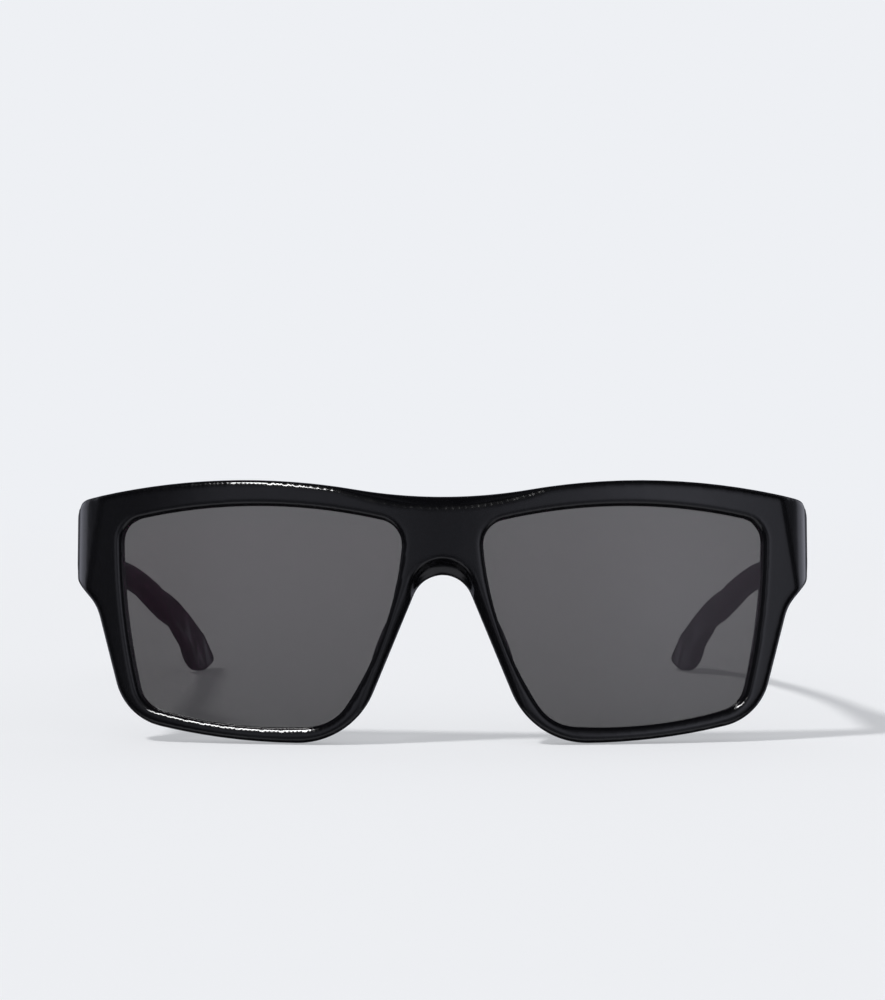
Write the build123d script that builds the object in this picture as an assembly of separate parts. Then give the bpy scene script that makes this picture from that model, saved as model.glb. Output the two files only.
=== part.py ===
from build123d import *
import math
import os

# Flat top sunglasses, standing open on a table on their rims and temple tips.
# +X is the wearer's left, the front faces -Y and +Z is up. Sizes are in millimetres.

# Lenses
lens_width = 57.3
lens_height = 44.7
lens_thickness = 1.8
lens_set_back = 1.5
lens_radius = 288.5
groove_depth = 0.5
groove_clearance = 0.03
lens_top_corner_nasal = 5.0
lens_top_corner_outer = 4.6
lens_low_corner_outer = 6.0
lens_low_corner_nasal = 9.5

# Front
bridge_width = 16.2
front_thickness = 4.8
front_wrap_radius = 290.0
front_lean = 5.0
rim_top = 5.3
rim_bottom = 2.75
rim_side = 4.4
rim_nasal = 3.25
brow_dip = 3.4
brow_crest = 40.6
brow_radius = 137.0
nose_angle = 22.5
arch_drop = 19.3
rim_foot_radius = 16.5
rim_outer_radius = 12.0
front_edge_bevel = 0.6
back_edge_bevel = 0.6
opening_bevel = 0.75
opening_back_bevel = 0.4
arch_bevel = 2.1
arch_bevel_depth = 1.0
arch_step = 1.25
arch_step_depth = 2.1
arch_step_side = 0.75
arch_step_rise = 2.7
bridge_bevel = 2.3
bridge_bevel_radius = 80.0

# Lugs, the end pieces that turn back to the hinges
lug_reach = 9.5
lug_height = 16.0
lug_thickness = 5.0
lug_run = 2.66
lug_corner_radius = 3.0
lug_neck_radius = 9.0
lug_inner_radius = 2.0
facet_width = 5.6
facet_foot = 2.8
facet_angle = 40.0
facet_top_radius = 8.8
facet_foot_radius = 8.0

# Nose pads
pad_length = 14.5
pad_drop = 1.5
pad_reach = 6.5
pad_thickness = 2.6
pad_flare = 22.0
pad_edge_bevel = 0.8
pad_seat = 0.5

# Hinges
barrel_radius = 1.6
barrel_gap = 0.1
knuckle_height = 1.2
knuckle_gap = 0.05
front_knuckles = 3
leaf_thickness = 0.9
leaf_margin = 0.7
leaf_end_gap = 0.5
leaf_corner_radius = 1.4
front_leaf_length = 4.2
temple_leaf_length = 9.5
stud_width = 1.1
stud_length = 1.6
screw_radius = 0.7
screw_fit = 0.04
screw_head_radius = 1.1
screw_head_height = 0.7
screw_edge_bevel = 0.2
screw_slot_width = 0.35
screw_slot_depth = 0.3

# Temples
temple_length = 128.0
temple_straight = 14.0
temple_bow = 14.4
temple_mid_thickness = 3.8
temple_tip_thickness = 3.3
temple_outer_bevel = 1.4
temple_inner_bevel = 0.7
butt_gap = 0.15
core_width = 1.2
core_height = 2.2

# One spare length, by which cutting tools run past what they cut
overrun = 5.0

# Outline of a lens: four bowed sides between four rounded corners. Each place is a share of
# the lens's width from its nasal edge and of its height from its lowest edge.
lens_corner_shares = [(0.0, 0.912), (1.003, 0.923), (0.926, 0.1), (0.246, 0.012)]
lens_bow_shares = [(0.517, 1.0), (0.997, 0.628), (0.585, 0.011), (0.068, 0.442)]
# The rim's heel, by shares of its side's and its foot's width, how far its foot bows up as a
# share of its width, and the neck under a lug, by shares of the rim's side and the lug's height
heel_share = (0.7, 0.86)
foot_bow_share = 0.1
neck_share = (1.16, 0.32)
# How deep a lug's root stands in the front, as a share of the front's thickness
lug_root_share = 0.98
# Where the facet's cutter ends, past the lug's foot and its top
facet_end_shares = [-0.3, 1.3]
facet_bite_share = 0.995
# Studs on a leaf: shares of its plate's length and height
front_stud_shares = [(0.5, 0.25), (0.5, 0.75)]
temple_stud_shares = [(0.25, 0.5), (0.8, 0.5)]
# A temple's side view: shares of its length, then its top and its foot as shares of the
# height at which it leaves the lug
temple_shares = [(0.2125, 0.775, 0.605), (0.47, 0.629, 0.522), (0.70, 0.485, 0.378), (0.88, 0.343, 0.172)]
tip_top_share = (0.972, 0.245)
tip_end_share = (1.0, 0.125)
tip_floor_share = (0.965, 0.0)
core_end_shares = (0.955, 0.165)
# How much of its bow a temple has at these shares of its length
bow_shares = [(0.5, 0.3), (0.78, 0.65), (1.05, 1.08)]

os.makedirs("parts", exist_ok=True)

on_base = (Align.CENTER, Align.CENTER, Align.MIN)

# Places that follow from the sizes. The front is drawn upright, then leaned back.
lens_centre = (bridge_width + lens_width) / 2
lens_turn = math.asin(lens_centre / front_wrap_radius)
lens_nasal = lens_centre - lens_width / 2 * math.cos(lens_turn)
lens_outer = lens_centre + lens_width / 2 * math.cos(lens_turn)
half_width = lens_outer + lug_reach
front_height = rim_bottom + lens_height + rim_top
brow_fall = brow_radius - math.sqrt(brow_radius**2 - (half_width - brow_crest) ** 2)
lug_top = front_height - brow_fall
lug_bottom = lug_top - lug_height
lug_inner = half_width - lug_thickness
hinge_x = lug_inner - barrel_radius - barrel_gap
wrap_end = front_wrap_radius - math.sqrt(front_wrap_radius**2 - half_width**2)
lug_depth = wrap_end + front_thickness + lug_run
hinge_depth = lug_depth + butt_gap / 2
hinge_middle = (lug_top + lug_bottom) / 2
knuckle_count = 2 * front_knuckles - 1
barrel_height = knuckle_count * knuckle_height + (knuckle_count - 1) * knuckle_gap
leaf_height = barrel_height + 2 * leaf_margin
nose_slope = math.radians(nose_angle)
lean = math.radians(front_lean)

# The nose arch: its straight sides keep the nasal rim's width beside the lens
nasal_edge = (
    lens_nasal + lens_bow_shares[3][0] * lens_width,
    rim_bottom + lens_bow_shares[3][1] * lens_height,
)
notch_side = (
    nasal_edge[0] - rim_nasal * math.cos(nose_slope),
    nasal_edge[1] - rim_nasal * math.sin(nose_slope),
)
notch_apex = notch_side[1] + notch_side[0] / math.tan(nose_slope)
arch_top = front_height - arch_drop
arch_radius = (notch_apex - arch_top) * math.sin(nose_slope) / (1 - math.sin(nose_slope))
arch_middle = arch_top - arch_radius

# The brow's arcs turn the other way where its rise from the bridge joins its crest
brow_turn = brow_radius * 2 * brow_dip / (brow_crest**2 + brow_dip**2)
brow_join = (brow_crest * (1 - brow_turn), front_height - brow_dip * brow_turn)


def wrap_depth(x):
    """How far the front's face has curved back at x."""
    return front_wrap_radius - math.sqrt(front_wrap_radius**2 - x**2)


def nearest(shape, points):
    """The corners of a flat shape that lie nearest to the points."""
    return [shape.vertices().sort_by_distance(Vector(*point, 0))[0] for point in points]


def both(solid):
    """A solid of the wearer's left side and its twin on the right."""
    return solid + mirror(solid, Plane.YZ)


def on_lens(share):
    return ((share[0] - 0.5) * lens_width, share[1] * lens_height)


def lens_outline(grow):
    """The lens opening, grown by a groove's depth, flat and centred on the lens."""
    corners = [on_lens(share) for share in lens_corner_shares]
    bows = [on_lens(share) for share in lens_bow_shares]
    sides = [ThreePointArc(corners[i], bows[i], corners[(i + 1) % 4]) for i in range(4)]
    outline = make_face(sides)
    radii = [lens_top_corner_nasal, lens_top_corner_outer, lens_low_corner_outer, lens_low_corner_nasal]
    for corner, radius in zip(corners, radii):
        outline = fillet(nearest(outline, [corner]), radius)
    if grow:
        grown = offset(outline, grow).face().outer_wire().order_edges()
        outline = make_face([ThreePointArc(arc @ 0, arc @ 0.5, arc @ 1) for arc in grown])
    return outline


def lens_column(grow):
    """A straight column with the lens's outline, longer than the front is thick."""
    return extrude(Plane.XZ.offset(overrun) * lens_outline(grow), amount=-front_thickness - 2 * overrun)


def lens_seat(solid):
    """Sets a solid that is drawn on the lens's own plane into the wearer's left rim."""
    turned = Rot(0, 0, math.degrees(lens_turn)) * solid
    return Pos(lens_centre, wrap_depth(lens_centre), rim_bottom) * turned


def lens_blank(grow, clearance):
    """A plate with the lens's outline between two balls with one centre, as a lens is ground."""
    centre = Pos(0, lens_set_back + lens_radius, lens_height / 2)
    outer = centre * Sphere(lens_radius + clearance)
    inner = centre * Sphere(lens_radius - lens_thickness - clearance)
    return (lens_column(grow) & outer) - inner


def front_outline():
    """The front seen square on, with the brow, the lugs and the nose arch."""
    foot = (notch_side[0] + notch_side[1] * math.tan(nose_slope), 0)
    across, up = lens_corner_shares[2]
    low = (lens_nasal + across * lens_width, rim_bottom + up * lens_height)
    heel = (low[0] + heel_share[0] * rim_side, low[1] - heel_share[1] * rim_bottom)
    floor_point = ((foot[0] + heel[0]) / 2, foot_bow_share * rim_bottom)
    neck = (lens_outer + neck_share[0] * rim_side, lug_bottom - neck_share[1] * lug_height)
    shoulder = (half_width, lug_bottom)
    tip = (half_width, lug_top)
    half = [
        Line((0, notch_apex), foot),
        ThreePointArc(foot, floor_point, heel),
        Line(heel, neck),
        Line(neck, shoulder),
        Line(shoulder, tip),
        ThreePointArc(tip, (brow_crest, front_height), brow_join),
    ]
    dip = ThreePointArc(brow_join, (0, front_height - brow_dip), (-brow_join[0], brow_join[1]))
    outline = make_face(half + [dip] + [mirror(edge, Plane.YZ) for edge in half])
    outline = fillet(nearest(outline, [(0, notch_apex)]), arch_radius)
    for corner, radius in (
        (foot, rim_foot_radius),
        (heel, rim_outer_radius),
        (neck, lug_neck_radius),
        (shoulder, lug_corner_radius),
        (tip, lug_corner_radius),
    ):
        outline = fillet(nearest(outline, [corner, (-corner[0], corner[1])]), radius)
    return outline


def wrapped(depth):
    """All the space behind a surface that lies this deep behind the front's face."""
    place = Pos(0, front_wrap_radius, -overrun)
    return place * Cylinder(front_wrap_radius - depth, front_height + 2 * overrun, align=on_base)


def wrapped_face(solid, depth):
    """The large curved face that lies this deep behind the front's face."""
    curved = solid.faces().filter_by(GeomType.CYLINDER).sort_by(SortBy.AREA)
    return [face for face in curved if abs(face.radius - front_wrap_radius + depth) < back_edge_bevel][-1]


def inner_edges(face):
    return [edge for wire in face.inner_wires() for edge in wire.edges()]


def lug_solid():
    """The wearer's left lug, which turns back from the rim to the hinge."""
    root = lug_inner - 2 * lug_inner_radius
    section = Pos((root + half_width) / 2, hinge_middle) * Rectangle(half_width - root, lug_height)
    section = fillet(nearest(section, [(half_width, lug_top), (half_width, lug_bottom)]), lug_corner_radius)
    back_radius = front_wrap_radius - lug_root_share * front_thickness
    inner = (lug_inner, front_wrap_radius - math.sqrt(back_radius**2 - lug_inner**2))
    plan = make_face(
        Polyline(
            (half_width, lug_depth),
            (lug_inner, lug_depth),
            inner,
            (root, front_wrap_radius - math.sqrt(back_radius**2 - root**2)),
            (root, wrap_depth(root) + front_thickness / 2),
            (half_width, wrap_depth(half_width) + front_thickness / 2),
            close=True,
        )
    )
    plan = fillet(nearest(plan, [inner]), lug_inner_radius)
    return extrude(Plane.XZ * section, amount=-lug_depth - overrun) & extrude(plan, front_height)


def lug_corner():
    """The cut at a lug's front corner: a facet that narrows downwards, then a rounding."""
    slope = math.radians(facet_angle)
    sections = []
    for share in facet_end_shares:
        width = facet_foot + share * (facet_width - facet_foot)
        radius = facet_foot_radius + share * (facet_top_radius - facet_foot_radius)
        corner = wrap_depth(half_width - width) + width * math.tan(slope)
        middle = (half_width - radius * facet_bite_share, corner + radius * math.tan((math.pi / 2 - slope) / 2))
        ring = [
            (middle[0] + radius * math.cos(angle), middle[1] + radius * math.sin(angle))
            for angle in (slope - math.pi / 2, (slope - math.pi / 2) / 2, 0)
        ]
        start = (ring[0][0] - width - overrun, ring[0][1] - (width + overrun) * math.tan(slope))
        outline = make_face(
            [
                Line(start, ring[0]),
                ThreePointArc(*ring),
                Line(ring[2], (half_width + overrun, ring[2][1])),
                Line((half_width + overrun, ring[2][1]), (half_width + overrun, start[1])),
                Line((half_width + overrun, start[1]), start),
            ]
        )
        sections.append(Pos(0, 0, lug_bottom + share * lug_height) * outline)
    return loft(sections, ruled=True)


def bridge_bevel_cutter():
    """Bevels the bridge's top by 45 degrees, outside a wide circle drawn on its face."""
    radius = bridge_bevel_radius
    cone = Cone(radius + overrun, radius - front_thickness, front_thickness + overrun, align=on_base)
    return Pos(0, -overrun, front_height - brow_dip - bridge_bevel + radius) * Rot(-90, 0, 0) * cone


def notch_outline(grow):
    """The space under the nose arch, grown on all sides."""
    apex = notch_apex + grow / math.sin(nose_slope)
    floor = -overrun
    half = (apex - floor) * math.tan(nose_slope)
    outline = make_face(Polyline((0, apex), (half, floor), (-half, floor), close=True))
    return fillet(nearest(outline, [(0, apex)]), arch_radius + grow)


def arch_bevel_cutter():
    """The shallow bevel round the nose arch and down both nasal rims."""
    widest = arch_bevel + overrun * arch_bevel / arch_bevel_depth
    before = Plane.XZ.offset(overrun) * notch_outline(widest)
    behind = Plane.XZ.offset(-arch_bevel_depth) * notch_outline(0)
    return loft([before, behind], ruled=True)


def arch_step_cutter():
    """The steep step above the arch, which dies out at its sides, and the bevel at its foot."""
    rim = arch_radius + arch_step_side
    floor = rim - arch_step
    section = Polyline(
        (0, -overrun),
        (rim + overrun * arch_step / arch_step_depth, -overrun),
        (floor, arch_step_depth),
        (0, arch_step_depth + floor * arch_bevel_depth / arch_bevel),
        close=True,
    )
    return Pos(0, 0, arch_middle + arch_step_rise) * revolve(make_face(section), Axis.Y)


def front_solid():
    """The moulded front: rims, bridge, lugs, edges, bevels, openings and lens grooves."""
    column = extrude(Plane.XZ * front_outline(), amount=-lug_depth)
    front = column & (wrapped(0) - wrapped(front_thickness))
    front = chamfer(wrapped_face(front, 0).outer_wire().edges(), front_edge_bevel)
    front = chamfer(wrapped_face(front, front_thickness).outer_wire().edges(), back_edge_bevel)
    front += both(lug_solid())
    front -= both(lug_corner())
    front -= arch_bevel_cutter()
    front -= arch_step_cutter()
    front -= bridge_bevel_cutter()
    front -= both(lens_seat(lens_column(0)))
    front = chamfer(inner_edges(wrapped_face(front, 0)), opening_bevel)
    front = chamfer(inner_edges(wrapped_face(front, front_thickness)), opening_back_bevel)
    return front - both(lens_seat(lens_blank(groove_depth + groove_clearance, groove_clearance)))


def nose_pad():
    """The wearer's left pad: a rounded tongue that stands on the back of the nasal rim."""
    half = pad_length / 2
    outline = make_face(
        [
            ThreePointArc((0, -half), (pad_reach, 0), (0, half)),
            Line((0, half), (-pad_seat, half)),
            Line((-pad_seat, half), (-pad_seat, -half)),
            Line((-pad_seat, -half), (0, -half)),
        ]
    )
    pad = extrude(outline, pad_thickness / 2, both=True)
    rounded = [edge for edge in pad.edges() if edge.geom_type == GeomType.CIRCLE]
    pad = chamfer(rounded, pad_edge_bevel)
    middle = (
        nasal_edge[0] - rim_nasal / 2 * math.cos(nose_slope) + pad_drop * math.sin(nose_slope),
        nasal_edge[1] - rim_nasal / 2 * math.sin(nose_slope) - pad_drop * math.cos(nose_slope),
    )
    flare = math.radians(pad_flare)
    outward = Vector(math.cos(nose_slope), 0, math.sin(nose_slope))
    reach = Vector(0, math.cos(flare), 0) + outward * math.sin(flare)
    along = Vector(math.sin(nose_slope), 0, -math.cos(nose_slope))
    root = Vector(middle[0], wrap_depth(middle[0]) + front_thickness, middle[1])
    return Plane(origin=root, x_dir=reach, z_dir=reach.cross(along)) * pad


def hinge_leaf(back, length, stud_shares):
    """One leaf for the wearer's left: knuckles on webs, a plate and its studs. back is 1 for
    the temple's leaf, which lies behind the axis, and -1 for the front's."""
    reach = barrel_radius + barrel_gap
    waist = barrel_radius * math.sqrt(0.5)
    start = butt_gap / 2 + leaf_end_gap
    web = make_face(
        Polyline(
            (0, 0),
            (reach, back * start),
            (reach + leaf_thickness / 2, back * start),
            (reach + leaf_thickness / 2, back * (reach + 2 * waist)),
            (reach, back * (reach + 2 * waist)),
            (-waist, back * waist),
            close=True,
        )
    )
    knuckle = extrude(web + Circle(barrel_radius), knuckle_height)
    place = Pos(hinge_x, hinge_depth, hinge_middle - barrel_height / 2)
    first = 0 if back < 0 else 1
    solid = Part()
    for i in range(first, knuckle_count, 2):
        solid += place * Pos(0, 0, i * (knuckle_height + knuckle_gap)) * knuckle
    near = hinge_depth + back * start
    far = near + back * length
    plate = Pos((near + far) / 2, hinge_middle) * Rectangle(length, leaf_height)
    ends = [(far, hinge_middle - leaf_height / 2), (far, hinge_middle + leaf_height / 2)]
    plate = fillet(nearest(plate, ends), leaf_corner_radius)
    solid += Pos(lug_inner, 0, 0) * extrude(Plane.YZ * plate, leaf_thickness)
    stud = Rot(0, 90, 0) * Box(stud_width, stud_width, leaf_thickness / 2 + stud_length, align=on_base)
    for along, up in stud_shares:
        height = hinge_middle + (up - 0.5) * leaf_height
        solid += Pos(lug_inner + leaf_thickness / 2, near + back * along * length, height) * stud
    return solid - place * Cylinder(screw_radius + screw_fit, barrel_height, align=on_base)


def hinge_screw():
    """A slotted screw that stands on the lowest knuckle's foot, its head on the top knuckle."""
    head = Cylinder(screw_head_radius, screw_head_height, align=on_base)
    head = chamfer(head.edges().group_by(Axis.Z)[-1], screw_edge_bevel)
    slot = Pos(0, 0, screw_head_height) * Box(2 * screw_head_radius, screw_slot_width, 2 * screw_slot_depth)
    shank = Cylinder(screw_radius, barrel_height, align=on_base)
    place = Pos(hinge_x, hinge_depth, hinge_middle - barrel_height / 2)
    return place * (shank + Pos(0, 0, barrel_height) * (head - slot))


def temple_side(butt_foot, butt_top, forward):
    """A temple seen from the side: it drops from the hinge to a tip that rests on the table."""
    start = butt_top[0]
    rise = butt_top[1]
    top = [(start + along * temple_length, high * rise) for along, high, low in temple_shares]
    low = [(start + along * temple_length, low * rise) for along, high, low in temple_shares]
    shares = (tip_top_share, tip_end_share, tip_floor_share)
    tip = [(start + along * temple_length, high * rise) for along, high in shares]
    down = (tip[0][0] - top[-1][0], tip[0][1] - top[-1][1])
    edges = [
        Spline(butt_top, *top, tip[0], tangents=[forward, down]),
        Spline(*tip, tangents=[down, (-1, 0)]),
        Spline(tip[2], *reversed(low), butt_foot, tangents=[(-1, 0), (-forward[0], -forward[1])]),
        Line(butt_foot, butt_top),
    ]
    return make_face(edges)


def temple_plan(start, inset, widths):
    """A strip along a temple seen from above: its outer edge lies inset from the temple's, and
    its widths are those at the hinge, half way and at the tip."""
    run = [(half_width, start + temple_straight)]
    run += [(half_width - bow * temple_bow, start + along * temple_length) for along, bow in bow_shares]
    thickness = [widths[0], widths[1], (widths[1] + widths[2]) / 2, widths[2]]
    outer = [(x - inset[i], y) for i, (x, y) in enumerate(run)]
    inner = [(x - inset[i] - thickness[i], y) for i, (x, y) in enumerate(run)]
    edges = [
        Line((outer[0][0], 0), outer[0]),
        Spline(*outer, tangents=[(0, 1), (outer[3][0] - outer[2][0], outer[3][1] - outer[2][1])]),
        Line(outer[3], inner[3]),
        Spline(*reversed(inner), tangents=[(outer[2][0] - outer[3][0], outer[2][1] - outer[3][1]), (0, -1)]),
        Line(inner[0], (inner[0][0], 0)),
        Line((inner[0][0], 0), (outer[0][0], 0)),
    ]
    return make_face(edges)


def wall_edges(solid, side):
    """The edges round a temple's outer wall, side 1, or its inner wall, side -1, but for the butt."""
    butt = solid.faces().sort_by(Axis.Y)[0]
    walls = [face for face in solid.faces() if side * face.normal_at().X > abs(face.normal_at().Z)]
    return ShapeList([edge for wall in walls for edge in wall.edges()]) - butt.edges()


def temple_solid(butt_foot, butt_top, forward):
    """The wearer's left temple: its side view crossed with its plan, its edges bevelled."""
    side_view = extrude(Plane.YZ * temple_side(butt_foot, butt_top, forward), half_width + overrun)
    widths = (lug_thickness, temple_mid_thickness, temple_tip_thickness)
    solid = side_view & extrude(temple_plan(butt_top[0], (0, 0, 0, 0), widths), front_height)
    solid = chamfer(wall_edges(solid, 1), temple_outer_bevel)
    return chamfer(wall_edges(solid, -1), temple_inner_bevel)


def wire_core(core_start, butt_top):
    """The flat wire in a temple: it starts on the leaf's last stud and keeps to the middle."""
    line = [core_start]
    for along, high, low in temple_shares:
        line.append((butt_top[0] + along * temple_length, (high + low) / 2 * butt_top[1]))
    line.append((butt_top[0] + core_end_shares[0] * temple_length, core_end_shares[1] * butt_top[1]))
    half = core_height / 2
    side = make_face(
        [
            Spline(*[(y, z + half) for y, z in line]),
            Line((line[-1][0], line[-1][1] + half), (line[-1][0], line[-1][1] - half)),
            Spline(*[(y, z - half) for y, z in reversed(line)]),
            Line((core_start[0], core_start[1] - half), (core_start[0], core_start[1] + half)),
        ]
    )
    rear_thickness = (temple_mid_thickness + temple_tip_thickness) / 2
    thicknesses = (lug_thickness, temple_mid_thickness, rear_thickness, temple_tip_thickness)
    insets = [(thickness - core_width) / 2 for thickness in thicknesses]
    plan = temple_plan(butt_top[0], insets, (core_width, core_width, core_width))
    return extrude(Plane.YZ * side, half_width + overrun) & extrude(plan, front_height)


def lean_back(solid):
    """Leans an upright solid back with the front and stands it on the table."""
    return Pos(0, 0, lift) * Rot(-front_lean, 0, 0) * solid


def leaned(depth, height):
    """Where a place of the upright front comes to, seen from the side."""
    return (
        depth * math.cos(lean) + height * math.sin(lean),
        height * math.cos(lean) - depth * math.sin(lean) + lift,
    )


front = front_solid()
pad = nose_pad() - front
front_leaf = hinge_leaf(-1, front_leaf_length, front_stud_shares)
front -= both(front_leaf)
lift = -(Rot(-front_lean, 0, 0) * front).bounding_box().min.Z

temple_leaf = lean_back(hinge_leaf(1, temple_leaf_length, temple_stud_shares))
butt_foot = leaned(lug_depth + butt_gap, lug_bottom)
butt_top = leaned(lug_depth + butt_gap, lug_top)
forward = (math.cos(lean), -math.sin(lean))
stud_depth = hinge_depth + butt_gap / 2 + leaf_end_gap + temple_stud_shares[1][0] * temple_leaf_length
core = wire_core(leaned(stud_depth, hinge_middle), butt_top) - temple_leaf
temple = temple_solid(butt_foot, butt_top, forward) - temple_leaf - core

left_side = {
    "lens": lean_back(lens_seat(lens_blank(groove_depth, 0))),
    "nose_pad": lean_back(pad),
    "hinge_front_leaf": lean_back(front_leaf),
    "hinge_temple_leaf": temple_leaf,
    "hinge_screw": lean_back(hinge_screw()),
    "temple": temple,
    "temple_core": core,
}
pieces = {"front_frame": lean_back(front)}
for name, solid in left_side.items():
    pieces[name + "_left"] = solid
    pieces[name + "_right"] = mirror(solid, Plane.YZ)

# The origin is on the table, under the middle of the whole pair of glasses
deepest = temple.bounding_box().max.Y
middle = (pieces["front_frame"].bounding_box().min.Y + deepest) / 2
for name, solid in pieces.items():
    placed = Pos(0, -middle, 0) * solid
    export_step(placed, f"parts/{name}.step")

axis_depth, axis_height = leaned(hinge_depth, hinge_middle)
print("hinge axes at x", round(hinge_x, 3), "y", round(axis_depth - middle, 3), "z", round(axis_height, 3))
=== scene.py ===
import math

import bpy
from mathutils import Euler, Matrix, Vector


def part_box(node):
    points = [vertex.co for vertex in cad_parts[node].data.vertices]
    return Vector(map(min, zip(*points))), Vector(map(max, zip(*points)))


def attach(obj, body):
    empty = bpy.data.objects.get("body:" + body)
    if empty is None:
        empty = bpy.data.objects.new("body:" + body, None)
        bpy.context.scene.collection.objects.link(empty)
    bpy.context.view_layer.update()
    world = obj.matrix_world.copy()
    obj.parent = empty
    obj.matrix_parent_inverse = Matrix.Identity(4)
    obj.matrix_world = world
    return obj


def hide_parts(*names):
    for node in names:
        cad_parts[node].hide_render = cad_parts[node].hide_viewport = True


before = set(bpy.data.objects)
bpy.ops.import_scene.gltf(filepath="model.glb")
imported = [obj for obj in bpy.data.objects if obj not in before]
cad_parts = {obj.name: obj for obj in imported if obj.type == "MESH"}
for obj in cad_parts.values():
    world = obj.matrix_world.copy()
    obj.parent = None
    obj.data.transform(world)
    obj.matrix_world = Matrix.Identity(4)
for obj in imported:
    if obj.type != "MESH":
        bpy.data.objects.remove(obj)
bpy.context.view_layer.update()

# Camera
# A long lens on a stand, a little above the table and square on to the front, as in a
# catalogue picture. Lengths are metres, and the sensor lies along the picture's tall side.
camera_distance = 0.89989
camera_height = 0.11017
camera_tilt = math.radians(3.85)
front_foot_depth = 0.0753

camera_data = bpy.data.cameras.new("camera")
camera_data.lens = 162.0
camera_data.sensor_width = 36.0
camera = bpy.data.objects.new("camera", camera_data)
bpy.context.scene.collection.objects.link(camera)
camera.location = (0.0, -front_foot_depth - camera_distance, camera_height)
camera.rotation_euler = (math.pi / 2 - camera_tilt, 0.0, 0.0)
bpy.context.scene.camera = camera
bpy.context.scene.view_settings.view_transform = "Standard"

# Studio
# A pale sweep all round the table. The gloss plastic mirrors the room: pale panels to the left
# and the right, dimmer ones beside the camera and a dark ceiling, as in a product studio.
backdrop_colour = (0.855, 0.8714, 0.9047, 1.0)
room_light = 0.42
room_colour = (0.985, 0.99, 1.0, 1.0)
panel_tint = (0.975, 0.985, 1.06)
# Each panel: its direction seen from above, in degrees to the right of the camera, and its
# brightness
room_panels = [
    (-180, 0.30),
    (-150, 0.12),
    (-142, 0.35),
    (-134, 1.2),
    (-126, 1.2),
    (-106, 0.95),
    (-92, 0.25),
    (-80, 0.07),
    (-48, 0.07),
    (-28, 0.12),
    (-18, 0.46),
    (-8, 0.40),
    (0, 0.24),
    (10, 0.48),
    (22, 0.86),
    (34, 0.54),
    (50, 0.08),
    (80, 0.06),
    (92, 0.25),
    (106, 1.00),
    (126, 1.4),
    (134, 1.5),
    (142, 0.35),
    (150, 0.12),
    (180, 0.30),
]
# How bright the panels are at these heights, as the sine of the angle over the table
panel_heights = [
    (-1.0, 0.4),
    (-0.14, 0.4),
    (0.0, 0.85),
    (0.10, 1.0),
    (0.35, 0.62),
    (0.60, 0.22),
    (1.0, 0.06),
]
# How bright the table mirrors at these, dark under the glasses, which keep the light off it
table_heights = [
    (-1.0, 0.06),
    (-0.93, 0.08),
    (-0.80, 0.55),
    (-0.62, 0.60),
    (-0.45, 0.12),
    (1.0, 0.12),
]
# Away from the camera the table mirrors at this share of its brightness towards it, and the
# share rises to one between these two parts of the way to the camera
table_far_share = 0.12
table_front = (-0.05, 0.45)
# The heights between which the table gives way to the panels
table_edge = (-0.60, -0.46)

world = bpy.data.worlds.new("studio")
bpy.context.scene.world = world
world.use_nodes = True
nodes, links = world.node_tree.nodes, world.node_tree.links
nodes.clear()


def graded(nodes, source, start, end, easing="LINEAR"):
    """A measure turned into another: start and end each say what is read and what is given."""
    grade = nodes.new("ShaderNodeMapRange")
    grade.interpolation_type = easing
    grade.inputs["From Min"].default_value = start[0]
    grade.inputs["To Min"].default_value = start[1]
    grade.inputs["From Max"].default_value = end[0]
    grade.inputs["To Max"].default_value = end[1]
    nodes.id_data.links.new(source, grade.inputs["Value"])
    return grade.outputs["Result"]


def mixed(nodes, first, second, share, kind="MIX"):
    """Two colours mixed, each given as a colour or a socket, the share as a number or a socket."""
    mix = nodes.new("ShaderNodeMix")
    mix.data_type = "RGBA"
    mix.blend_type = kind
    for name, value in (("Factor", share), ("A", first), ("B", second)):
        if isinstance(value, bpy.types.NodeSocket):
            nodes.id_data.links.new(value, mix.inputs[name])
        else:
            mix.inputs[name].default_value = value
    return mix.outputs["Result"]


def profile_ramp(nodes, stops, low, high, source):
    """A ramp of bluish greys over a measure that runs from low to high, eased between stops."""
    ramp = nodes.new("ShaderNodeValToRGB")
    ramp.color_ramp.interpolation = "EASE"
    elements = ramp.color_ramp.elements
    elements[0].position = 0.0
    elements[1].position = 1.0
    for place, value in stops[1:-1]:
        elements.new((place - low) / (high - low))
    for element, (place, value) in zip(elements, stops):
        element.color = tuple(value * part for part in panel_tint) + (1.0,)
    measure = graded(nodes, source, start=(low, 0.0), end=(high, 1.0))
    nodes.id_data.links.new(measure, ramp.inputs["Fac"])
    return ramp.outputs["Color"]


def seen_share(nodes):
    """One where the camera looks, straight or through the lenses, and nought elsewhere."""
    path = nodes.new("ShaderNodeLightPath")
    seen = nodes.new("ShaderNodeMath")
    seen.operation = "MAXIMUM"
    nodes.id_data.links.new(path.outputs["Is Camera Ray"], seen.inputs[0])
    nodes.id_data.links.new(path.outputs["Is Transmission Ray"], seen.inputs[1])
    return seen.outputs["Value"]


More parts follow.
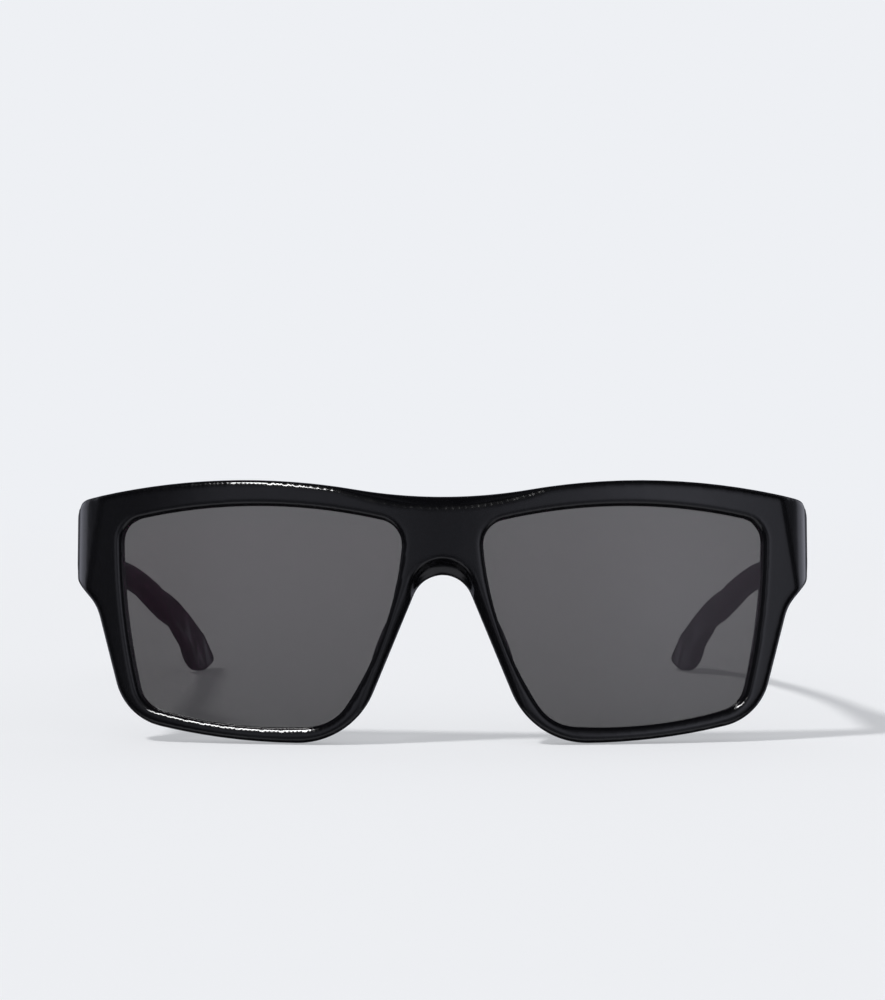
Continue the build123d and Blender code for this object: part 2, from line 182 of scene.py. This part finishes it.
output = nodes.new("ShaderNodeOutputWorld")
way = nodes.new("ShaderNodeTexCoord")
way_parts = nodes.new("ShaderNodeSeparateXYZ")
links.new(way.outputs["Generated"], way_parts.inputs["Vector"])
towards_camera = nodes.new("ShaderNodeMath")
towards_camera.operation = "MULTIPLY"
towards_camera.inputs[1].default_value = -1.0
links.new(way_parts.outputs["Y"], towards_camera.inputs[0])
bearing = nodes.new("ShaderNodeMath")
bearing.operation = "ARCTAN2"
links.new(way_parts.outputs["X"], bearing.inputs[0])
links.new(towards_camera.outputs["Value"], bearing.inputs[1])
degrees = nodes.new("ShaderNodeMath")
degrees.operation = "DEGREES"
links.new(bearing.outputs["Value"], degrees.inputs[0])
height = way_parts.outputs["Z"]
panel_ring = profile_ramp(nodes, room_panels, -180.0, 180.0, degrees.outputs["Value"])
panel_rise = profile_ramp(nodes, panel_heights, -1.0, 1.0, height)
panels = mixed(nodes, panel_ring, panel_rise, share=1.0, kind="MULTIPLY")
table_mirror = profile_ramp(nodes, table_heights, -1.0, 1.0, height)
near_side = graded(
    nodes,
    towards_camera.outputs["Value"],
    start=(table_front[0], table_far_share),
    end=(table_front[1], 1.0),
)
table_seen = mixed(nodes, table_mirror, near_side, share=1.0, kind="MULTIPLY")
over_table = graded(
    nodes,
    height,
    start=(table_edge[0], 0.0),
    end=(table_edge[1], 1.0),
    easing="SMOOTHSTEP",
)
all_mirrored = mixed(nodes, table_seen, panels, share=over_table)
backgrounds = {}
for name, colour, strength in (
    ("light", room_colour, room_light),
    ("seen", backdrop_colour, 1.0),
    ("mirrored", None, 1.0),
):
    backgrounds[name] = nodes.new("ShaderNodeBackground")
    backgrounds[name].inputs["Strength"].default_value = strength
    if colour:
        backgrounds[name].inputs["Color"].default_value = colour
links.new(all_mirrored, backgrounds["mirrored"].inputs["Color"])
see = nodes.new("ShaderNodeMixShader")
links.new(seen_share(nodes), see.inputs["Fac"])
links.new(backgrounds["light"].outputs["Background"], see.inputs[1])
links.new(backgrounds["seen"].outputs["Background"], see.inputs[2])
path = nodes.new("ShaderNodeLightPath")
mirror = nodes.new("ShaderNodeMixShader")
links.new(path.outputs["Is Glossy Ray"], mirror.inputs["Fac"])
links.new(see.outputs["Shader"], mirror.inputs[1])
links.new(backgrounds["mirrored"].outputs["Background"], mirror.inputs[2])
links.new(mirror.outputs["Shader"], output.inputs["Surface"])

# The key lamp stands high on the left and a little in front, and throws the shadow to the
# right and back. Its turn is counted from the right, leftwards round the back.
key_height = math.radians(58.0)
key_turn = math.radians(205.0)
key_data = bpy.data.lights.new("key_lamp", "SUN")
key_data.energy = 2.0
key_data.angle = math.radians(8.0)
key_data.color = (1.0, 0.985, 0.96)
key_lamp = bpy.data.objects.new("key_lamp", key_data)
bpy.context.scene.collection.objects.link(key_lamp)
key_lamp.visible_glossy = False
key_lamp.rotation_euler = (0.0, math.pi / 2 - key_height, key_turn)

# A strip lamp hangs in front of the glasses, high up and a little left, and runs towards the
# camera. It draws the white line along the left brow's top edge and shows in gloss alone.
strip_width = 0.085
strip_length = 1.0
strip_forward = 0.80
strip_height = 0.85
strip_left = 0.23
strip_data = bpy.data.lights.new("strip_lamp", "AREA")
strip_data.shape = "RECTANGLE"
strip_data.size = strip_width
strip_data.size_y = strip_length
strip_data.energy = 12.0
strip_lamp = bpy.data.objects.new("strip_lamp", strip_data)
bpy.context.scene.collection.objects.link(strip_lamp)
strip_lamp.location = (-strip_left, -strip_forward, strip_height)
strip_lamp.visible_diffuse = False

# Table
# A wide sheet of matt pale acrylic. To the camera, part of its brightness near the glasses is
# painted glow in the backdrop colour, which no shadow darkens and so lightens the cast shadow;
# far out it is all that flat backdrop colour. It runs into the backdrop without an edge.
card_size = 24.0
card_colour = (0.893, 0.909, 0.944)
card_cloud = 0.985
# Share of the card's brightness, as the camera sees it, that is painted glow in the backdrop
# colour, close by and far out, and how far from the middle the one starts to give way to the
# other and has done so
painted_glow_near = 0.42
painted_glow_far = 1.0
sweep_start = 0.22
sweep_end = 0.75


def plain_material(name):
    """A new material with its nodes and its shader."""
    material = bpy.data.materials.new(name)
    material.use_nodes = True
    nodes = material.node_tree.nodes
    return material, nodes, material.node_tree.links, nodes["Principled BSDF"]


def noise(nodes, place, scale, detail=2.0, roughness=0.5):
    """Cloudy noise over a piece's own coordinates."""
    texture = nodes.new("ShaderNodeTexNoise")
    texture.inputs["Scale"].default_value = scale
    texture.inputs["Detail"].default_value = detail
    texture.inputs["Roughness"].default_value = roughness
    nodes.id_data.links.new(place, texture.inputs["Vector"])
    return texture.outputs["Fac"]


bpy.ops.object.select_all(action="DESELECT")
bpy.ops.mesh.primitive_plane_add(size=card_size)
table = bpy.context.object
table.name = "table_card"
card, nodes, links, card_shader = plain_material("pale_card")
card_shader.inputs["Roughness"].default_value = 0.95
card_shader.inputs["Specular IOR Level"].default_value = 0.0
place = nodes.new("ShaderNodeTexCoord").outputs["Object"]
clouded_colour = tuple(card_cloud * part for part in card_colour)
clouds = noise(nodes, place, scale=6.0)
card_tone = mixed(nodes, card_colour + (1.0,), clouded_colour + (1.0,), share=clouds)
links.new(card_tone, card_shader.inputs["Base Color"])
away = nodes.new("ShaderNodeVectorMath")
away.operation = "LENGTH"
links.new(place, away.inputs[0])
painted_glow_share = graded(
    nodes,
    away.outputs["Value"],
    start=(sweep_start, painted_glow_near),
    end=(sweep_end, painted_glow_far),
    easing="SMOOTHERSTEP",
)
painted_glow_seen = nodes.new("ShaderNodeMath")
painted_glow_seen.operation = "MULTIPLY"
links.new(painted_glow_share, painted_glow_seen.inputs[0])
links.new(seen_share(nodes), painted_glow_seen.inputs[1])
# Painted glow: the backdrop colour shown to the camera on the card, unshadowed, which lightens the
# cast shadow near the glasses
painted_backdrop_glow = nodes.new("ShaderNodeEmission")
painted_backdrop_glow.inputs["Color"].default_value = backdrop_colour
card_with_painted_glow = nodes.new("ShaderNodeMixShader")
links.new(painted_glow_seen.outputs["Value"], card_with_painted_glow.inputs["Fac"])
links.new(card_shader.outputs["BSDF"], card_with_painted_glow.inputs[1])
links.new(painted_backdrop_glow.outputs["Emission"], card_with_painted_glow.inputs[2])
links.new(card_with_painted_glow.outputs["Shader"], nodes["Material Output"].inputs["Surface"])
table.visible_glossy = False
table.data.materials.append(card)

# Front
# One injection moulding of black nylon: both rims, the bridge and the two lugs. It is
# tumbled and hand polished, so every edge is softly rounded and the faces are high gloss.
# The spacing of the grid that the front is remeshed on, and how many passes then wear it round
front_grid = 0.00035
front_passes = 20
# The grid of every worn piece is laid askew, so that no long edge runs along it and comes out
# stepped
grid_turn = (0.52, 0.36, 0.61)
nylon_dark = (0.0016, 0.0016, 0.0022, 1.0)
nylon_light = (0.0030, 0.0030, 0.0038, 1.0)


def tumbled(node, name, grid, passes):
    """A copy of a piece whose edges are worn round, as tumbling in wooden pegs leaves them."""
    bpy.ops.object.select_all(action="DESELECT")
    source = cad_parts[node]
    source.select_set(True)
    bpy.context.view_layer.objects.active = source
    bpy.ops.object.duplicate(linked=False)
    piece = bpy.context.object
    piece.name = name
    # The CAD mesh is loose triangles, which are joined up first
    joined_within = grid / 100
    bpy.ops.object.mode_set(mode="EDIT")
    bpy.ops.mesh.select_all(action="SELECT")
    bpy.ops.mesh.remove_doubles(threshold=joined_within)
    bpy.ops.object.mode_set(mode="OBJECT")
    askew = Euler(grid_turn).to_matrix().to_4x4()
    piece.data.transform(askew)
    blank = piece.modifiers.new("even_grid", "REMESH")
    blank.mode = "VOXEL"
    blank.voxel_size = grid
    bpy.ops.object.modifier_apply(modifier=blank.name)
    wear = piece.modifiers.new("worn_edges", "SMOOTH")
    wear.factor = 0.5
    wear.iterations = passes
    bpy.ops.object.modifier_apply(modifier=wear.name)
    piece.data.transform(askew.inverted())
    bpy.ops.object.shade_smooth()
    return piece


def roughened(nodes, shader, height, strength, depth):
    """Gives a shader the fine relief of a height pattern."""
    relief = nodes.new("ShaderNodeBump")
    relief.inputs["Strength"].default_value = strength
    relief.inputs["Distance"].default_value = depth
    nodes.id_data.links.new(height, relief.inputs["Height"])
    nodes.id_data.links.new(relief.outputs["Normal"], shader.inputs["Normal"])


def polished_nylon(name):
    """Polished moulded nylon: near black, with faint flow marks, wipe marks and orange peel."""
    nylon, nodes, links, shader = plain_material(name)
    shader.inputs["IOR"].default_value = 1.5
    place = nodes.new("ShaderNodeTexCoord").outputs["Object"]
    flow = noise(nodes, place, scale=60.0, detail=3.0)
    tone = mixed(nodes, nylon_dark, nylon_light, share=flow)
    links.new(tone, shader.inputs["Base Color"])
    wipe = noise(nodes, place, scale=240.0, detail=4.0, roughness=0.6)
    gloss = graded(nodes, wipe, start=(0.3, 0.09), end=(0.7, 0.15))
    links.new(gloss, shader.inputs["Roughness"])
    peel = noise(nodes, place, scale=380.0, detail=1.0)
    roughened(nodes, shader, peel, strength=0.12, depth=0.00002)
    return nylon


def finish(piece, material):
    """Gives a piece its one material."""
    piece.data.materials.clear()
    piece.data.materials.append(material)


front = tumbled("front_frame", "front_moulding", front_grid, front_passes)
finish(front, polished_nylon("front_nylon"))
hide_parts("front_frame")
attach(front, "front")

# Lenses
# Two grey lenses cut from moulded polycarbonate caps and snapped into the rims' grooves. The
# tint is a little denser and darker towards the foot, and the faces have a clear hard coat.
tint_foot_height = 0.004
tint_top_height = 0.048
tint_foot_density = 0.685
tint_top_density = 0.648
tint_foot_colour = (0.007, 0.003, 0.006, 1.0)
tint_top_colour = (0.013, 0.003, 0.009, 1.0)

tint, nodes, links, tint_shader = plain_material("grey_tint")
tint_shader.inputs["IOR"].default_value = 1.5
place = nodes.new("ShaderNodeTexCoord").outputs["Object"]
place_parts = nodes.new("ShaderNodeSeparateXYZ")
links.new(place, place_parts.inputs["Vector"])
lens_height = place_parts.outputs["Z"]
density = graded(
    nodes,
    lens_height,
    start=(tint_foot_height, tint_foot_density),
    end=(tint_top_height, tint_top_density),
)
links.new(density, tint_shader.inputs["Alpha"])
fade = graded(nodes, lens_height, start=(tint_foot_height, 0.0), end=(tint_top_height, 1.0))
graded_tint_tone = mixed(nodes, tint_foot_colour, tint_top_colour, share=fade)
links.new(graded_tint_tone, tint_shader.inputs["Base Color"])
cloth_marks = noise(nodes, place, scale=70.0, detail=3.0)
coat_gloss = graded(nodes, cloth_marks, start=(0.0, 0.02), end=(1.0, 0.05))
links.new(coat_gloss, tint_shader.inputs["Roughness"])
for side in ("left", "right"):
    finish(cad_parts["lens_" + side], tint)

# Nose pads
# A tongue of the same nylon bonded behind each nasal rim. It is less worn than the front,
# because it is bonded on once the front has been tumbled.
pad_grid = 0.0002
pad_passes = 5
pad_slope = math.radians(22.5)
pad_stretch = 1.28
pad_flatten = 0.62


def dress_pad(pad, side):
    """Draws a pad out along its nasal rim and files its outer face down."""
    sign = 1 if side == "left" else -1
    low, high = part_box("nose_pad_" + side)
    along = (sign * math.sin(pad_slope), -math.cos(pad_slope))
    out = (sign * math.cos(pad_slope), math.sin(pad_slope))
    middle = ((low[0] + high[0]) / 2, (low[2] + high[2]) / 2)
    root = min(
        (vertex.co.x - middle[0]) * out[0] + (vertex.co.z - middle[1]) * out[1]
        for vertex in pad.data.vertices
    )
    for vertex in pad.data.vertices:
        x, z = vertex.co.x - middle[0], vertex.co.z - middle[1]
        lengthwise = pad_stretch * (x * along[0] + z * along[1])
        outward = root + pad_flatten * (x * out[0] + z * out[1] - root)
        vertex.co.x = middle[0] + lengthwise * along[0] + outward * out[0]
        vertex.co.z = middle[1] + lengthwise * along[1] + outward * out[1]


pad_nylon = polished_nylon("pad_nylon")
for side in ("left", "right"):
    pad = tumbled("nose_pad_" + side, "nose_tongue_" + side, pad_grid, pad_passes)
    dress_pad(pad, side)
    finish(pad, pad_nylon)
    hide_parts("nose_pad_" + side)
    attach(pad, "front")

# Temples
# Each temple is a nylon moulding shot round its wire core, flat on the inside and softly
# rounded outside, and polished like the front. Its end is bent in over hot air.
temple_grid = 0.0003
temple_passes = 18
temple_start = -0.05376
temple_run = 0.128
temple_rise = 0.0476
# No temple is dressed down nearer to the table than this
table_gap = 0.0002
# Along the temple, as shares of its run: its top and its foot as shares of its rise
temple_stations = (0.0, 0.2125, 0.47, 0.70, 0.88, 0.965, 1.0)
temple_tops = (1.0, 0.775, 0.629, 0.485, 0.343, 0.25, 0.2)
temple_feet = (0.66, 0.605, 0.522, 0.378, 0.172, 0.02, 0.02)
# Along the temple again, in metres: how far the bend draws it in, how much further it draws
# its foot in, and how far its top and its foot are dressed down
bend_stations = (0.0, 0.30, 0.55, 0.70, 0.80, 0.85, 0.90, 0.95, 0.972, 1.0)
bend_in = (0.0, 0.0, 0.0, 0.0, 0.0, 0.0004, 0.0009, 0.0014, 0.0018, 0.0020)
foot_in = (0.0, 0.0, 0.0, 0.0, 0.0002, 0.0006, 0.0011, 0.0018, 0.0020, 0.0021)
top_down = (0.0, 0.0, 0.0, 0.0, 0.0, 0.0003, 0.0010, 0.0018, 0.0026, 0.0030)
foot_down = (0.0, 0.0, 0.0004, 0.0016, 0.0032, 0.0031, 0.0018, 0.0, -0.0008, -0.0010)


def between(share, stations, values):
    """The value at a place along the temple, eased from one station to the next."""
    for i in range(1, len(stations)):
        if share <= stations[i] or i == len(stations) - 1:
            part = (share - stations[i - 1]) / (stations[i] - stations[i - 1])
            part = min(max(part, 0.0), 1.0)
            part = part * part * (3 - 2 * part)
            return values[i - 1] + part * (values[i] - values[i - 1])


def hot_bend(piece):
    """Bends in the end of a temple or its core, and dresses its top and foot, over hot air."""
    # The piece keeps its shape up to the second station
    untouched = bend_stations[1]
    for vertex in piece.data.vertices:
        share = (vertex.co.y - temple_start) / temple_run
        if share <= untouched:
            continue
        top = temple_rise * between(share, temple_stations, temple_tops)
        foot = temple_rise * between(share, temple_stations, temple_feet)
        height = min(max((vertex.co.z - foot) / (top - foot), 0.0), 1.0)
        drop = height * between(share, bend_stations, top_down)
        drop += (1 - height) * between(share, bend_stations, foot_down)
        vertex.co.z = max(vertex.co.z - drop, min(vertex.co.z, table_gap))
        inward = between(share, bend_stations, bend_in)
        inward += (1 - height) * between(share, bend_stations, foot_in)
        vertex.co.x -= math.copysign(inward, vertex.co.x)


temple_nylon = polished_nylon("temple_nylon")
for side in ("left", "right"):
    temple = tumbled("temple_" + side, "temple_moulding_" + side, temple_grid, temple_passes)
    hot_bend(temple)
    finish(temple, temple_nylon)
    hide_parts("temple_" + side)
    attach(temple, "temple_" + side)

# Hinges
# Five-barrel hinges of nickel-plated steel: three knuckles on the front's leaf, two on the
# temple's, both sunk in the plastic by their studs, and a slotted M1.4 screw through them.
nickel_dark = (0.46, 0.45, 0.43, 1.0)
nickel_light = (0.60, 0.59, 0.57, 1.0)
brush_streaks = (1.0, 1.0, 14.0)


def streaked_place(nodes, streaks):
    """A piece's own coordinates scaled each way, so that noise over them comes out in streaks."""
    place = nodes.new("ShaderNodeTexCoord").outputs["Object"]
    mapping = nodes.new("ShaderNodeMapping")
    mapping.inputs["Scale"].default_value = streaks
    nodes.id_data.links.new(place, mapping.inputs["Vector"])
    return mapping.outputs["Vector"]


nickel, nodes, links, nickel_shader = plain_material("nickel_plate")
nickel_shader.inputs["Metallic"].default_value = 1.0
brushing = noise(nodes, streaked_place(nodes, brush_streaks), scale=900.0, detail=3.0)
nickel_tone = mixed(nodes, nickel_dark, nickel_light, share=brushing)
links.new(nickel_tone, nickel_shader.inputs["Base Color"])
nickel_gloss = graded(nodes, brushing, start=(0.0, 0.2), end=(1.0, 0.42))
links.new(nickel_gloss, nickel_shader.inputs["Roughness"])
roughened(nodes, nickel_shader, brushing, strength=0.25, depth=0.00001)
for side in ("left", "right"):
    for piece in ("hinge_front_leaf_", "hinge_temple_leaf_", "hinge_screw_"):
        finish(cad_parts[piece + side], nickel)

# Wire cores
# A flat steel wire, drawn and slightly dull, that stiffens each temple. The nylon is shot
# round it, so it takes the temple's bend and only a cut temple would show it.
core_grid = 0.0002
core_passes = 2
wire_dark = (0.38, 0.38, 0.38, 1.0)
wire_light = (0.54, 0.54, 0.53, 1.0)
die_streaks = (1.0, 0.04, 1.0)

drawn, nodes, links, drawn_shader = plain_material("drawn_wire")
drawn_shader.inputs["Metallic"].default_value = 1.0
die_lines = noise(nodes, streaked_place(nodes, die_streaks), scale=2500.0)
wire_tone = mixed(nodes, wire_dark, wire_light, share=die_lines)
links.new(wire_tone, drawn_shader.inputs["Base Color"])
wire_gloss = graded(nodes, die_lines, start=(0.0, 0.35), end=(1.0, 0.55))
links.new(wire_gloss, drawn_shader.inputs["Roughness"])
for side in ("left", "right"):
    core = tumbled("temple_core_" + side, "wire_core_" + side, core_grid, core_passes)
    hot_bend(core)
    finish(core, drawn)
    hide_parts("temple_core_" + side)
    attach(core, "temple_" + side)
